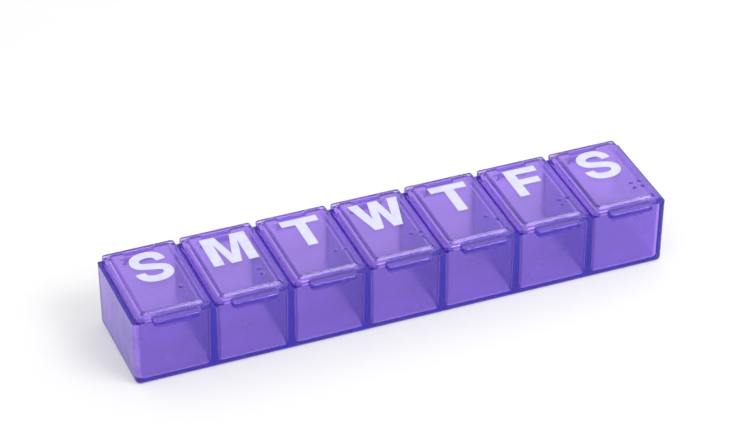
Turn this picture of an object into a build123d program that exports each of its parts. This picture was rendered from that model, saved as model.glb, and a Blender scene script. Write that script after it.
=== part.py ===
"""Weekly pill organizer in millimetres: one moulded tray of seven compartments and seven hinged lids.

+X runs along the row from the first day to the last, +Y from the front to the hinges, +Z up.
The origin is the centre of the face that the tray rests on.
"""

import os
from math import asin, degrees, radians, tan

from build123d import *

day_names = ("sunday", "monday", "tuesday", "wednesday", "thursday", "friday", "saturday")
day_initials = ("S", "M", "T", "W", "T", "F", "S")

# Tray: one moulding, open at the top
day_pitch = 22.0  # from one compartment's middle to the next
tray_depth = 32.0  # front to back, at the rim
tray_height = 20.0
outer_wall = 1.3  # at the rim
divider_wall = 1.3  # at the rim
tray_floor = 1.2
draft_angle = 0.7  # every upright face leans by this much so that it leaves its mould
outer_corner_radius = 1.6
base_edge_radius = 1.2
rim_edge_radius = 0.2
pocket_corner_radius = 1.6
pocket_floor_radius = 0.8

# Hinge: a rod moulded across a notch in the rear wall, and the lid's knuckle snapped over it
hinge_rod_radius = 0.8
hinge_clearance = 0.05  # radial, between rod and knuckle
knuckle_radius = 1.75
knuckle_width = 8.4
knuckle_mouth = 1.3  # narrower than the rod, so that the knuckle snaps on
knuckle_side_gap = 0.3
hinge_setback = 1.1  # rod's axis in front of the tray's rear face
hinge_drop = 1.35  # rod's axis below the rim
rod_root = 0.8  # how far the rod's bosses run past the notch

# Lid: a flange on the tray's rim with a raised panel
lid_gap = 1.5  # between neighbouring lids
lid_setback = 0.15  # flange edge in from the tray's front and rear faces
seat_gap = 0.03  # air between the flange and the tray's rim
flange_thickness = 1.5
flange_corner_radius = 1.0
flange_edge_radius = 0.35
panel_raise = 0.8
panel_side_margin = 1.1
panel_end_margin = 1.3
panel_slope = 0.75  # how far the panel's sloped edge runs in
panel_corner_radius = 1.0
panel_edge_radius = 0.3  # round the panel's top
panel_thickness = 1.2
recess_margin = 0.6  # recess under the panel, in from the panel's top edge
recess_corner_radius = 0.5
tab_width = 13.0
tab_reach = 2.5  # in front of the tray
tab_corner_radius = 0.9

# Rim below the lid that drops into the compartment, and the tongue that snaps shut
rim_gap = 0.3  # to the compartment's walls
rim_thickness = 0.8
rim_depth = 0.9
rim_end_gap = 1.5  # from the rim's open end to the knuckle
tongue_width = 8.7
tongue_depth = 2.9
bead_radius = 0.45
bead_height = 0.2
groove_depth = 0.25
groove_side_gap = 0.4

# Markings: raised Braille numbers, and printed initials
braille_pitch = 2.45
dot_radius = 0.75
dot_height = 0.45
braille_first = (4.9, -6.8)  # first dot, from the lid's middle
braille_numbers = (
    ((0, 0),),
    ((0, 0), (0, 1)),
    ((0, 0), (1, 0)),
    ((0, 0), (1, 0), (1, 1)),
    ((0, 0), (1, 1)),
    ((0, 0), (1, 0), (0, 1)),
    ((0, 0), (1, 0), (0, 1), (1, 1)),
)  # columns and rows of the numbers 1 to 7
print_thickness = 0.06
print_gap = 0.01
initial_place = (0.4, 4.65)  # middle of the printed initial, from the lid's middle
cap_height = 12.95
stem_width = 2.9
bar_width = 2.6
s_stroke = 2.7
s_width = 10.5
m_width = 12.8
t_width = 10.7
w_width = 14.5
f_width = 9.5
f_arm_length = 8.6
f_arm_drop = 5.2  # from the letter's top to its lower arm

# Worked out from the sizes above
day_count = len(day_names)
tray_length = day_count * day_pitch - divider_wall + 2 * outer_wall
pocket_length = day_pitch - divider_wall
pocket_depth = tray_depth - 2 * outer_wall
front_face = -tray_depth / 2
rear_face = tray_depth / 2
hinge_y = rear_face - hinge_setback
hinge_z = tray_height - hinge_drop
notch_width = knuckle_width + 2 * knuckle_side_gap
notch_floor = hinge_z - knuckle_radius - knuckle_side_gap
lid_length = day_pitch - lid_gap
lid_depth = tray_depth - 2 * lid_setback
lid_base = tray_height + seat_gap
lid_top = lid_base + flange_thickness
panel_top = lid_top + panel_raise
panel_length = lid_length - 2 * panel_side_margin
panel_depth = lid_depth - 2 * panel_end_margin
plateau_length = panel_length - 2 * panel_slope
plateau_depth = panel_depth - 2 * panel_slope
rim_length = pocket_length - 2 * rim_gap
rim_front = front_face + outer_wall + rim_gap
rim_rear = hinge_y - knuckle_radius - rim_end_gap
bead_z = tray_height - tongue_depth + bead_radius
day_places = GridLocations(day_pitch, 0, day_count, 1).locations
day_x = [place.position.X for place in day_places]


def lean(height):
    """How far an upright face leans over this height."""
    return height * tan(radians(draft_angle))


def rounded(length, depth, radius, mode=Mode.ADD):
    """Rounded rectangle whose corners never take up a whole side."""
    return RectangleRounded(length, depth, min(radius, 0.45 * min(length, depth)), mode=mode)


def make_pocket():
    """The space of one compartment, with its rounded floor."""
    inset = lean(tray_height - tray_floor)
    with BuildPart() as pocket:
        with BuildSketch(Plane.XY.offset(tray_floor)):
            rounded(pocket_length - 2 * inset, pocket_depth - 2 * inset, pocket_corner_radius)
        with BuildSketch(Plane.XY.offset(tray_height)):
            rounded(pocket_length, pocket_depth, pocket_corner_radius)
        loft(ruled=True)
        floor_edges = pocket.faces().sort_by(Axis.Z)[0].edges()
        fillet(floor_edges, min(pocket_floor_radius, 0.9 * pocket_corner_radius))
    return pocket.part


def make_tray():
    """Outer box with its compartments, hinge notches, hinge rods and snap grooves."""
    inset = lean(tray_height)
    pocket = make_pocket()
    with BuildPart() as tray:
        with BuildSketch(Plane.XY):
            rounded(tray_length - 2 * inset, tray_depth - 2 * inset, outer_corner_radius)
        with BuildSketch(Plane.XY.offset(tray_height)):
            rounded(tray_length, tray_depth, outer_corner_radius)
        loft(ruled=True)
        base_edges = tray.faces().sort_by(Axis.Z)[0].edges()
        fillet(base_edges, min(base_edge_radius, 0.9 * outer_corner_radius, tray_floor))
        rim_edges = tray.faces().sort_by(Axis.Z)[-1].edges()
        fillet(rim_edges, min(rim_edge_radius, 0.2 * outer_wall))
        round_rear_rim()
        with Locations(day_places):
            add(pocket, mode=Mode.SUBTRACT)
        cut_notches()
        cut_grooves()
        add_rods()
    return tray


def round_rear_rim():
    """Quarter round along the rear of the rim, which the rear of each lid turns past."""
    radius = min(hinge_setback, 0.9 * outer_wall)
    with BuildSketch(Plane.YZ.offset(-tray_length / 2)) as waste:
        with Locations((rear_face - radius / 2, tray_height - radius / 2)):
            Rectangle(radius, radius)
        with Locations((rear_face - radius, tray_height - radius)):
            Circle(radius, mode=Mode.SUBTRACT)
    extrude(waste.sketch, amount=tray_length, mode=Mode.SUBTRACT)


def cut_notches():
    """Openings in the rear wall that the lids' knuckles turn in."""
    notch_depth = 2 * (outer_wall + knuckle_radius)
    notch_height = 2 * (tray_height - notch_floor)
    with Locations([(x, rear_face, tray_height) for x in day_x]):
        Box(notch_width, notch_depth, notch_height, mode=Mode.SUBTRACT)


def cut_grooves():
    """Grooves inside the front wall that the lids' beads snap into."""
    wall_face = front_face + outer_wall + lean(tray_height - bead_z)
    groove_length = tongue_width + 2 * groove_side_gap
    with Locations([(x, wall_face + bead_radius - groove_depth, bead_z) for x in day_x]):
        Cylinder(bead_radius, groove_length, rotation=(0, 90, 0), mode=Mode.SUBTRACT)


def add_rods():
    """Hinge rods across the notches, with a short boss at each end."""
    with Locations([(x, hinge_y, hinge_z) for x in day_x]):
        Cylinder(hinge_rod_radius, notch_width + 2 * rod_root, rotation=(0, 90, 0))


def make_plain_lid():
    """A closed lid without its number, over a compartment in the tray's middle."""
    with BuildPart() as lid:
        with BuildSketch(Plane.XY.offset(lid_base)):
            rounded(lid_length, lid_depth, flange_corner_radius)
        extrude(amount=flange_thickness)
        add_tab()
        top_edges = lid.faces().sort_by(Axis.Z)[-1].edges()
        fillet(top_edges, min(flange_edge_radius, 0.4 * flange_thickness))
        add_panel()
        plateau_edges = lid.faces().sort_by(Axis.Z)[-1].edges()
        fillet(plateau_edges, min(panel_edge_radius, 0.4 * panel_raise, 0.4 * panel_slope))
        add_rim()
        add_tongue()
        add_knuckle()
    return lid.part


def add_tab():
    """Thumb tab that stands out over the tray's front."""
    tab_depth = tab_reach + 2 * lid_setback + tab_corner_radius
    tab_middle = front_face - tab_reach + tab_depth / 2
    with BuildSketch(Plane((0, tab_middle, lid_base))) as outline:
        rounded(tab_width, tab_depth, tab_corner_radius)
    extrude(outline.sketch, amount=flange_thickness)


def add_panel():
    """Raised panel with sloped edges, hollow below so that its wall stays even."""
    recess_size = (plateau_length - 2 * recess_margin, plateau_depth - 2 * recess_margin)
    with BuildSketch(Plane.XY.offset(lid_top)) as foot:
        rounded(panel_length, panel_depth, panel_corner_radius)
    with BuildSketch(Plane.XY.offset(panel_top)) as plateau:
        rounded(plateau_length, plateau_depth, panel_corner_radius)
    loft([foot.sketch, plateau.sketch], ruled=True)
    with BuildSketch(Plane.XY.offset(lid_base)) as recess:
        rounded(*recess_size, recess_corner_radius)
    extrude(recess.sketch, amount=panel_top - panel_thickness - lid_base, mode=Mode.SUBTRACT)


def add_rim():
    """Locating rim along the front and both sides of the lid's underside."""
    rim_run = rim_rear - rim_front
    inner_size = (rim_length - 2 * rim_thickness, 2 * (rim_run - rim_thickness))
    inner_radius = max(pocket_corner_radius - rim_thickness, 0.2)
    with BuildSketch(Plane((0, rim_rear, lid_base))) as outline:
        rounded(rim_length, 2 * rim_run, pocket_corner_radius)
        rounded(*inner_size, inner_radius, mode=Mode.SUBTRACT)
        with Locations((0, rim_run)):
            Rectangle(rim_length, 2 * rim_run, mode=Mode.SUBTRACT)
    extrude(outline.sketch, amount=-rim_depth)


def add_tongue():
    """Tongue behind the front wall, with the bead that holds the lid shut."""
    with Locations((0, rim_front + rim_thickness / 2, lid_base)):
        Box(tongue_width, rim_thickness, tongue_depth, align=(Align.CENTER, Align.CENTER, Align.MAX))
    with Locations((0, rim_front + bead_radius - bead_height, bead_z)):
        Cylinder(bead_radius, tongue_width, rotation=(0, 90, 0))


def add_knuckle():
    """Hook that snaps over the hinge rod, open downwards."""
    side = Plane((-knuckle_width / 2, hinge_y, hinge_z), x_dir=(0, 1, 0), z_dir=(1, 0, 0))
    with BuildSketch(side) as hook:
        Circle(knuckle_radius)
        Circle(hinge_rod_radius + hinge_clearance, mode=Mode.SUBTRACT)
        with Locations((0, -knuckle_radius / 2)):
            Rectangle(knuckle_mouth, knuckle_radius, mode=Mode.SUBTRACT)
    extrude(hook.sketch, amount=knuckle_width)


def make_lid(plain_lid, x, dots):
    """One day's lid in its place, with its Braille number raised on the panel."""
    sphere_radius = (dot_radius**2 + dot_height**2) / (2 * dot_height)
    cap_angle = degrees(asin(1 - dot_height / sphere_radius))
    dot_x = x + braille_first[0]
    dot_y = braille_first[1]
    dot_places = [(dot_x + a * braille_pitch, dot_y - b * braille_pitch, panel_top) for a, b in dots]
    with BuildPart() as lid:
        with Locations((x, 0, 0)):
            add(plain_lid)
        with Locations(dot_places):
            Sphere(sphere_radius, arc_size1=cap_angle, align=(Align.CENTER, Align.CENTER, Align.MIN))
    return lid


def draw_s():
    """Letter S: one even stroke along a chain of curves that run on smoothly."""
    top, side = (cap_height - s_stroke * 0.7) / 2, (s_width - s_stroke) / 2
    waist, shoulder = side / 2, 0.82 * top
    with BuildSketch() as glyph:
        with BuildLine() as stroke:
            Bezier((0.87 * side, 0.43 * top), (0.79 * side, shoulder), (waist, top), (0, top))
            Bezier((0, top), (-0.6 * side, top), (-side, shoulder), (-side, top / 2))
            Bezier((-side, top / 2), (-side, top / 8), (-waist, top / 10), (0, 0))
            Bezier((0, 0), (waist, -top / 10), (side, -top / 7), (side, -top / 2))
            Bezier((side, -top / 2), (side, -shoulder), (0.6 * side, -top), (0, -top))
            Bezier((0, -top), (-0.56 * side, -top), (-0.95 * side, -shoulder), (-side, -0.42 * top))
        trace(stroke.line, line_width=s_stroke)
    return glyph.sketch


def draw_m():
    """Letter M."""
    outer, half_height = m_width / 2, cap_height / 2
    inner, peak = outer - stem_width, 0.75 * stem_width
    right = [(outer, half_height), (outer, -half_height), (inner, -half_height)]
    right += [(inner, cap_height / 4), (stem_width / 2, -half_height)]
    left = [(-px, py) for px, py in reversed(right)]
    valley = [(-peak, half_height), (0, -cap_height / 5.4), (peak, half_height)]
    with BuildSketch() as glyph:
        with BuildLine():
            Polyline(*right, *left, *valley, close=True)
        make_face()
    return glyph.sketch


def draw_t():
    """Letter T."""
    with BuildSketch() as glyph:
        with Locations((0, cap_height / 2 - bar_width / 2)):
            Rectangle(t_width, bar_width)
        Rectangle(stem_width, cap_height)
    return glyph.sketch


def draw_w():
    """Letter W."""
    outer, half_height, peak = w_width / 2, cap_height / 2, stem_width / 2
    right = [(peak, half_height), (1.93 * peak, -cap_height / 10), (outer - stem_width, half_height)]
    right += [(outer, half_height), (outer - 1.09 * stem_width, -half_height), (peak, -half_height)]
    left = [(-px, py) for px, py in reversed(right)]
    with BuildSketch() as glyph:
        with BuildLine():
            Polyline(*right, (0, cap_height / 8.3), *left, close=True)
        make_face()
    return glyph.sketch


def draw_f():
    """Letter F."""
    corner = (Align.MIN, Align.MAX)
    with BuildSketch() as glyph:
        with Locations((-f_width / 2, cap_height / 2)):
            Rectangle(stem_width, cap_height, align=corner)
            Rectangle(f_width, bar_width, align=corner)
        with Locations((-f_width / 2, cap_height / 2 - f_arm_drop)):
            Rectangle(f_arm_length, bar_width, align=corner)
    return glyph.sketch


letters = {"S": draw_s, "M": draw_m, "T": draw_t, "W": draw_w, "F": draw_f}


def make_initial(x, letter):
    """Printed initial, a thin layer of ink on the lid's panel."""
    with BuildPart() as initial:
        place = (x + initial_place[0], initial_place[1], panel_top + print_gap)
        with BuildSketch(Plane(place)):
            add(letters[letter]())
        extrude(amount=print_thickness)
    return initial


def save(piece, name):
    """Label one finished piece and write it."""
    piece.part.label = name
    export_step(piece.part, f"parts/{name}.step")


os.makedirs("parts", exist_ok=True)
save(make_tray(), "tray")
plain_lid = make_plain_lid()
for x, name, letter, dots in zip(day_x, day_names, day_initials, braille_numbers):
    save(make_lid(plain_lid, x, dots), f"{name}_lid")
    save(make_initial(x, letter), f"{name}_initial")
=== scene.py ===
"""Dresses the weekly pill organizer: tinted clear plastic, white printed initials, a pale studio."""

import math

import bpy
from bpy.props import FloatProperty, FloatVectorProperty, PointerProperty
from bpy.types import Operator, Panel, PropertyGroup
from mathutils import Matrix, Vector

bl_info = {
    "name": "Weekly Pill Organizer",
    "version": (1, 0, 0),
    "blender": (4, 5, 0),
    "location": "3D View > Sidebar > Organizer",
    "description": "Finishes the tray, lids and printed initials of a weekly pill organizer",
    "category": "Object",
}

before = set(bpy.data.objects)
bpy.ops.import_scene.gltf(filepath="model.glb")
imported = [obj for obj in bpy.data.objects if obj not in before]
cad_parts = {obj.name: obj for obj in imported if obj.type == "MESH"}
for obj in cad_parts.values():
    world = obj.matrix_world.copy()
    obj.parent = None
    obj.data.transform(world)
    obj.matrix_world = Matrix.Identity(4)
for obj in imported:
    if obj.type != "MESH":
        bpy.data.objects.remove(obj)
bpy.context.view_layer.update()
DAYS = ("sunday", "monday", "tuesday", "wednesday", "thursday", "friday", "saturday")

WHITE = (1.0, 1.0, 1.0, 1.0)

# The plastic's flaws. Sizes are in metres. A stretch says how fast a pattern changes along x, y and z,
# and a band which of the pattern's values go from one look to the other.
FLOW_SIZE = 0.02
FLOW_STRETCH = (0.4, 1.0, 2.5)
FLOW_BAND = (0.35, 0.65)
STREAK_TINT = 0.94
SMEAR_SIZE = 0.006
SMEAR_BAND = (0.35, 0.75)
SMEAR_HAZE = 2.0
SCRATCH_SIZE = 0.0012
SCRATCH_STRETCH = (0.12, 1.0, 1.0)

# The printed ink. Sizes are in metres.
INK_BEND = 1.45
INK_PATCH_SIZE = 0.0022
INK_PATCH_BAND = (0.42, 0.7)
GRAIN_BAND = (0.3, 0.7)
GRAIN_ROUGHNESS = (0.42, 0.6)
GRAIN_HEIGHT = 0.000012

# The studio. Sizes and places are in metres, apart from the camera's sensor.
FLOOR_REACH = 6.0
FLOOR_DROP = 0.00002
FIBRE_SIZE = 0.0015
FIBRE_TINT = 0.985
SOFTBOX_SIZE = (0.4, 0.3)
SOFTBOX_PLACE = (0.28, -0.42, 0.58)
SOFTBOX_TARGET = (0.0, 0.0, 0.01)
SENSOR_WIDTH_MM = 36.0
CAMERA_REACH = (0.01, 20.0)


# ---------------------------------------------------------------- sizes and colours


class PlasticSettings(PropertyGroup):
    """The tinted clear plastic of the tray and the lids."""

    tray_colour: FloatVectorProperty(
        name="Tray Colour",
        description="What one wall of the tray lets through",
        subtype="COLOR",
        size=3,
        min=0.0,
        max=1.0,
        default=(0.655, 0.535, 1.0),
    )
    lid_colour: FloatVectorProperty(
        name="Lid Colour",
        description="What a lid's panel lets through",
        subtype="COLOR",
        size=3,
        min=0.0,
        max=1.0,
        default=(0.80, 0.70, 1.0),
    )
    depth_colour: FloatVectorProperty(
        name="Depth Colour",
        description="Colour that the plastic turns to where light runs far through it",
        subtype="COLOR",
        size=3,
        min=0.0,
        max=1.0,
        default=(0.55, 0.15, 0.95),
    )
    tray_density: FloatProperty(
        name="Tray Density",
        description="How fast the tray's plastic darkens with thickness, per metre",
        default=210.0,
        min=0.0,
    )
    lid_density: FloatProperty(
        name="Lid Density",
        description="How fast the lids' plastic darkens with thickness, per metre",
        default=210.0,
        min=0.0,
    )
    clearness: FloatProperty(
        name="Clearness",
        description="Share of the light that passes straight through; the rest makes it milky",
        subtype="FACTOR",
        default=0.985,
        min=0.5,
        max=1.0,
    )
    bend: FloatProperty(
        name="Bend of Light",
        description="Index of refraction of the plastic",
        default=1.49,
        min=1.0,
        max=2.5,
    )
    tray_haze: FloatProperty(
        name="Tray Haze",
        description="Roughness of the tray's skin between the smears",
        subtype="FACTOR",
        default=0.15,
        min=0.0,
        max=1.0,
    )
    lid_haze: FloatProperty(
        name="Lid Haze",
        description="Roughness of the lids' skin between the smears",
        subtype="FACTOR",
        default=0.09,
        min=0.0,
        max=1.0,
    )
    ripple_height: FloatProperty(
        name="Ripple Height",
        description="Height of the slow waves that cooling leaves in the walls",
        subtype="DISTANCE",
        unit="LENGTH",
        default=0.000018,
        min=0.0,
    )
    ripple_length: FloatProperty(
        name="Ripple Length",
        description="Distance from one slow wave to the next",
        subtype="DISTANCE",
        unit="LENGTH",
        default=0.009,
        min=0.0005,
    )
    scratch_depth: FloatProperty(
        name="Scratch Depth",
        description="Depth of the fine handling scratches",
        subtype="DISTANCE",
        unit="LENGTH",
        default=0.0000009,
        min=0.0,
    )


class PrintSettings(PropertyGroup):
    """The white ink of the initials."""

    ink: FloatVectorProperty(
        name="Ink",
        description="Colour of the printed initials",
        subtype="COLOR",
        size=3,
        min=0.0,
        max=1.0,
        default=(0.72, 0.73, 0.91),
    )
    thin_ink: FloatVectorProperty(
        name="Thin Ink",
        description="Colour of the ink where the screen left it thin",
        subtype="COLOR",
        size=3,
        min=0.0,
        max=1.0,
        default=(0.65, 0.65, 0.87),
    )
    grain: FloatProperty(
        name="Grain",
        description="Distance between the ink's grains",
        subtype="DISTANCE",
        unit="LENGTH",
        default=0.00025,
        min=0.00005,
    )


class StudioSettings(PropertyGroup):
    """The camera, the floor and the light."""

    lens: FloatProperty(
        name="Lens",
        description="Focal length on a 36 mm sensor, in millimetres",
        default=148.36,
        min=10.0,
    )
    azimuth: FloatProperty(
        name="Azimuth",
        description="Turn of the camera round the organizer",
        subtype="ANGLE",
        unit="ROTATION",
        default=math.radians(-21.83),
    )
    elevation: FloatProperty(
        name="Elevation",
        description="Height of the camera above the horizon",
        subtype="ANGLE",
        unit="ROTATION",
        default=math.radians(34.713),
    )
    distance: FloatProperty(
        name="Distance",
        description="From the camera to the point it looks at",
        subtype="DISTANCE",
        unit="LENGTH",
        default=0.8566,
        min=0.1,
    )
    target: FloatVectorProperty(
        name="Target",
        description="The point that the camera looks at",
        subtype="TRANSLATION",
        unit="LENGTH",
        size=3,
        default=(0.00349, 0.0192, 0.011),
    )
    paper: FloatVectorProperty(
        name="Paper",
        description="Colour of the floor",
        subtype="COLOR",
        size=3,
        min=0.0,
        max=1.0,
        default=(0.975, 0.975, 0.98),
    )
    paper_glow: FloatProperty(
        name="Paper Glow",
        description="Share of the floor that the camera sees as plain white",
        subtype="FACTOR",
        default=0.28,
        min=0.0,
        max=1.0,
    )
    sky: FloatProperty(
        name="Sky",
        description="Strength of the even light from all round",
        default=0.84,
        min=0.0,
    )
    softbox: FloatProperty(
        name="Softbox",
        description="Power of the large soft lamp",
        subtype="POWER",
        default=2.4,
        min=0.0,
    )


# ---------------------------------------------------------------- node helpers


class Nodes:
    """A node tree under construction, with short names for what this scene needs."""

    def __init__(self, tree):
        self.tree = tree
        tree.nodes.clear()

    def node(self, kind, **settings):
        made = self.tree.nodes.new(kind)
        for name, value in settings.items():
            setattr(made, name, value)
        return made

    def join(self, source, target):
        self.tree.links.new(source, target)

    def spread(self, value, band, to_low, to_high):
        """Maps the band of values on to the range from to_low to to_high, and holds it there."""
        made = self.node("ShaderNodeMapRange", clamp=True)
        ends = ("From Min", "From Max", "To Min", "To Max")
        for name, number in zip(ends, (*band, to_low, to_high)):
            made.inputs[name].default_value = number
        self.join(value, made.inputs["Value"])
        return made.outputs["Result"]

    def add(self, first, second):
        made = self.node("ShaderNodeMath", operation="ADD")
        self.join(first, made.inputs[0])
        self.join(second, made.inputs[1])
        return made.outputs[0]

    def seen_rays(self):
        """0 for rays off matt surfaces, 1 or more from the camera, off gloss or through the plastic."""
        path = self.node("ShaderNodeLightPath")
        seen = self.add(path.outputs["Is Camera Ray"], path.outputs["Is Glossy Ray"])
        return self.add(seen, path.outputs["Is Transmission Ray"])


class Finish(Nodes):
    """A node material under construction."""

    def __init__(self, name):
        self.material = bpy.data.materials.new(name)
        self.material.use_nodes = True
        super().__init__(self.material.node_tree)
        self.output = self.node("ShaderNodeOutputMaterial")
        self.coordinates = self.node("ShaderNodeTexCoord")

    def stretched(self, scale):
        """The object's own coordinates, scaled along each axis."""
        made = self.node("ShaderNodeMapping")
        made.inputs["Scale"].default_value = scale
        self.join(self.coordinates.outputs["Object"], made.inputs["Vector"])
        return made.outputs["Vector"]

    def noise(self, size, detail=2.0, scale=(1.0, 1.0, 1.0)):
        """Clouds whose lumps are about size metres across."""
        made = self.node("ShaderNodeTexNoise")
        made.inputs["Scale"].default_value = 1.0 / size
        made.inputs["Detail"].default_value = detail
        self.join(self.stretched(scale), made.inputs["Vector"])
        return made.outputs["Fac"]

    def blend_colours(self, factor, first, second):
        made = self.node("ShaderNodeMix", data_type="RGBA")
        self.join(factor, made.inputs["Factor"])
        made.inputs["A"].default_value = (*first, 1.0)
        made.inputs["B"].default_value = (*second, 1.0)
        return made.outputs["Result"]

    def bump(self, height, distance, after=None):
        made = self.node("ShaderNodeBump")
        made.inputs["Strength"].default_value = 1.0
        made.inputs["Distance"].default_value = distance
        self.join(height, made.inputs["Height"])
        if after is not None:
            self.join(after, made.inputs["Normal"])
        return made.outputs["Normal"]


def tinted_plastic(name, settings, part):
    """Clear purple plastic of the tray or the lids, which darkens where light runs far through it."""
    colour = tuple(getattr(settings, f"{part}_colour"))
    haze = getattr(settings, f"{part}_haze")
    look = Finish(name)
    skin = look.node("ShaderNodeBsdfPrincipled")
    skin.inputs["IOR"].default_value = settings.bend
    skin.inputs["Transmission Weight"].default_value = settings.clearness

    flow = look.noise(FLOW_SIZE, detail=1.0, scale=FLOW_STRETCH)
    streak = tuple(STREAK_TINT * c for c in colour)
    flowed = look.blend_colours(look.spread(flow, FLOW_BAND, 0.0, 1.0), streak, colour)
    look.join(flowed, skin.inputs["Base Color"])

    smears = look.noise(SMEAR_SIZE, detail=4.0)
    smeared = look.spread(smears, SMEAR_BAND, haze, haze * SMEAR_HAZE)
    look.join(smeared, skin.inputs["Roughness"])

    ripple = look.noise(settings.ripple_length, detail=1.0)
    waved = look.bump(ripple, settings.ripple_height)
    scratches = look.noise(SCRATCH_SIZE, detail=3.0, scale=SCRATCH_STRETCH)
    scratched = look.bump(scratches, settings.scratch_depth, waved)
    look.join(scratched, skin.inputs["Normal"])

    depth = look.node("ShaderNodeVolumeAbsorption")
    depth.inputs["Color"].default_value = (*settings.depth_colour, 1.0)
    depth.inputs["Density"].default_value = getattr(settings, f"{part}_density")
    look.join(skin.outputs["BSDF"], look.output.inputs["Surface"])
    look.join(depth.outputs["Volume"], look.output.inputs["Volume"])
    return look.material


def printed_ink(settings):
    """Matte white ink with the faint grain of a printing screen."""
    look = Finish("white_ink")
    skin = look.node("ShaderNodeBsdfPrincipled")
    skin.inputs["IOR"].default_value = INK_BEND
    patches = look.spread(look.noise(INK_PATCH_SIZE, detail=3.0), INK_PATCH_BAND, 0.0, 1.0)
    cover = look.blend_colours(patches, settings.ink, settings.thin_ink)
    look.join(cover, skin.inputs["Base Color"])
    grain = look.noise(settings.grain, detail=2.0)
    look.join(look.spread(grain, GRAIN_BAND, *GRAIN_ROUGHNESS), skin.inputs["Roughness"])
    look.join(look.bump(grain, GRAIN_HEIGHT), skin.inputs["Normal"])
    look.join(skin.outputs["BSDF"], look.output.inputs["Surface"])
    return look.material


def coat(node, material):
    """Gives a CAD node its finish, in every material slot of its object, and adds a slot where it has
    none.
    """
    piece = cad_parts[node]
    for place in piece.material_slots:
        place.material = material
    if not piece.material_slots:
        piece.data.materials.append(material)


# ---------------------------------------------------------------- operators


class ORGANIZER_OT_mould_tray(Operator):
    """Gives the tray its tinted clear plastic"""

    bl_idname = "organizer.mould_tray"
    bl_label = "Mould Tray"

    def execute(self, context):
        plastic = context.scene.organizer_plastic
        coat("tray", tinted_plastic("tray_clear_purple", plastic, "tray"))
        return {"FINISHED"}


class ORGANIZER_OT_mould_lids(Operator):
    """Gives the seven lids their tinted clear plastic"""

    bl_idname = "organizer.mould_lids"
    bl_label = "Mould Lids"

    def execute(self, context):
        plastic = context.scene.organizer_plastic
        material = tinted_plastic("lid_clear_purple", plastic, "lid")
        for day in DAYS:
            coat(f"{day}_lid", material)
        return {"FINISHED"}


class ORGANIZER_OT_print_initials(Operator):
    """Gives the seven initials their white ink"""

    bl_idname = "organizer.print_initials"
    bl_label = "Print Initials"

    def execute(self, context):
        material = printed_ink(context.scene.organizer_print)
        for day in DAYS:
            coat(f"{day}_initial", material)
        return {"FINISHED"}


def lay_paper(studio):
    """A wide pale floor that shows nearly white and keeps the object's shadow."""
    mesh = bpy.data.meshes.new("paper_floor")
    signs = ((-1, -1), (1, -1), (1, 1), (-1, 1))
    corners = [(x * FLOOR_REACH, y * FLOOR_REACH, 0.0) for x, y in signs]
    mesh.from_pydata(corners, [], [(0, 1, 2, 3)])
    floor = bpy.data.objects.new("paper_floor", mesh)
    bpy.context.scene.collection.objects.link(floor)
    floor.location.z = -FLOOR_DROP

    look = Finish("white_paper")
    matte = look.node("ShaderNodeBsdfDiffuse")
    paper = tuple(studio.paper)
    fibre_colour = tuple(FIBRE_TINT * c for c in paper)
    fibres = look.noise(FIBRE_SIZE, detail=3.0)
    look.join(look.blend_colours(fibres, fibre_colour, paper), matte.inputs["Color"])
    glow = look.node("ShaderNodeEmission")
    glow.inputs["Color"].default_value = WHITE
    share = look.node("ShaderNodeMath", operation="MULTIPLY", use_clamp=True)
    look.join(look.seen_rays(), share.inputs[0])
    share.inputs[1].default_value = studio.paper_glow
    mix = look.node("ShaderNodeMixShader")
    look.join(share.outputs[0], mix.inputs[0])
    look.join(matte.outputs[0], mix.inputs[1])
    look.join(glow.outputs[0], mix.inputs[2])
    look.join(mix.outputs[0], look.output.inputs["Surface"])
    mesh.materials.append(look.material)


def fill_sky(studio):
    """Even light from all round, which shows as white behind the object."""
    world = bpy.data.worlds.new("studio_white")
    bpy.context.scene.world = world
    world.use_nodes = True
    sky = Nodes(world.node_tree)
    background = sky.node("ShaderNodeBackground")
    background.inputs["Color"].default_value = WHITE
    strength = sky.spread(sky.seen_rays(), (0.0, 1.0), studio.sky, 1.0)
    sky.join(strength, background.inputs["Strength"])
    output = sky.node("ShaderNodeOutputWorld")
    sky.join(background.outputs[0], output.inputs["Surface"])


def aim(thing, place, target):
    """Puts a lamp or a camera at place and turns it to face target."""
    thing.location = place
    thing.rotation_euler = (Vector(target) - Vector(place)).to_track_quat("-Z", "Y").to_euler()


def hang_softbox(studio):
    """One large soft lamp above, to the right and in front."""
    lamp = bpy.data.lights.new("softbox", "AREA")
    lamp.shape = "RECTANGLE"
    lamp.size, lamp.size_y = SOFTBOX_SIZE
    lamp.energy = studio.softbox
    box = bpy.data.objects.new("softbox", lamp)
    bpy.context.scene.collection.objects.link(box)
    aim(box, SOFTBOX_PLACE, SOFTBOX_TARGET)


def set_camera(studio):
    """The photograph's point of view."""
    lens = bpy.data.cameras.new("camera")
    lens.sensor_width = SENSOR_WIDTH_MM
    lens.lens = studio.lens
    lens.clip_start, lens.clip_end = CAMERA_REACH
    camera = bpy.data.objects.new("camera", lens)
    bpy.context.scene.collection.objects.link(camera)
    level = math.cos(studio.elevation)
    x, y = math.sin(studio.azimuth) * level, -math.cos(studio.azimuth) * level
    back = Vector((x, y, math.sin(studio.elevation)))
    target = Vector(studio.target)
    aim(camera, target + back * studio.distance, target)
    bpy.context.scene.camera = camera


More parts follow.
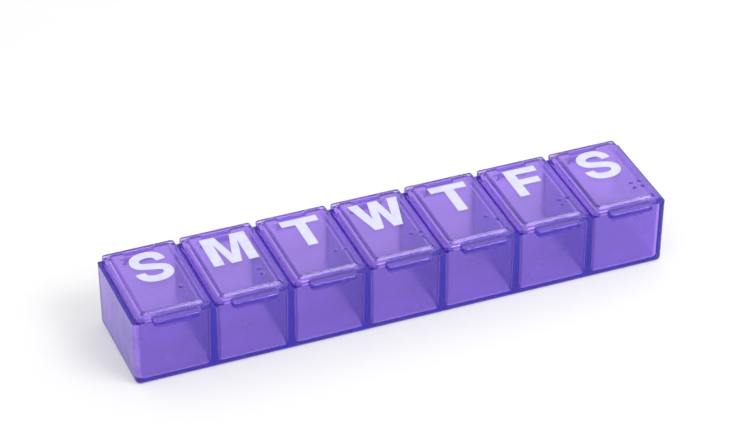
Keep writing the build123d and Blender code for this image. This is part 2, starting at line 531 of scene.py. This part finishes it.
def follow_light_through_walls(cycles):
    """Lets a ray cross the many walls of the compartments before it ends."""
    cycles.max_bounces = 32
    cycles.transmission_bounces = 28
    cycles.glossy_bounces = 20
    cycles.diffuse_bounces = 4


class ORGANIZER_OT_set_stage(Operator):
    """Lays the floor, hangs the lamp, fills the sky and sets the camera"""

    bl_idname = "organizer.set_stage"
    bl_label = "Set Stage"

    def execute(self, context):
        studio = context.scene.organizer_studio
        lay_paper(studio)
        fill_sky(studio)
        hang_softbox(studio)
        set_camera(studio)
        context.scene.view_settings.view_transform = "Standard"
        follow_light_through_walls(context.scene.cycles)
        return {"FINISHED"}


# ---------------------------------------------------------------- panel and add-on


class ORGANIZER_PT_sidebar(Panel):
    """The organizer's finishes and its studio"""

    bl_idname = "ORGANIZER_PT_sidebar"
    bl_label = "Weekly Pill Organizer"
    bl_space_type = "VIEW_3D"
    bl_region_type = "UI"
    bl_category = "Organizer"

    def draw(self, context):
        for title, settings, operators in (
            ("Plastic", context.scene.organizer_plastic, ("mould_tray", "mould_lids")),
            ("Print", context.scene.organizer_print, ("print_initials",)),
            ("Studio", context.scene.organizer_studio, ("set_stage",)),
        ):
            box = self.layout.box()
            box.label(text=title)
            for name in settings.__annotations__:
                box.prop(settings, name)
            for name in operators:
                box.operator(f"organizer.{name}")


SETTINGS = {
    "organizer_plastic": PlasticSettings,
    "organizer_print": PrintSettings,
    "organizer_studio": StudioSettings,
}
CLASSES = (
    *SETTINGS.values(),
    ORGANIZER_OT_mould_tray,
    ORGANIZER_OT_mould_lids,
    ORGANIZER_OT_print_initials,
    ORGANIZER_OT_set_stage,
    ORGANIZER_PT_sidebar,
)


def register():
    for made in CLASSES:
        bpy.utils.register_class(made)
    for name, group in SETTINGS.items():
        setattr(bpy.types.Scene, name, PointerProperty(type=group))


def unregister():
    for name in SETTINGS:
        delattr(bpy.types.Scene, name)
    for made in reversed(CLASSES):
        bpy.utils.unregister_class(made)


def main():
    register()
    bpy.ops.organizer.mould_tray()
    bpy.ops.organizer.mould_lids()
    bpy.ops.organizer.print_initials()
    bpy.ops.organizer.set_stage()


if __name__ == "__main__":
    main()
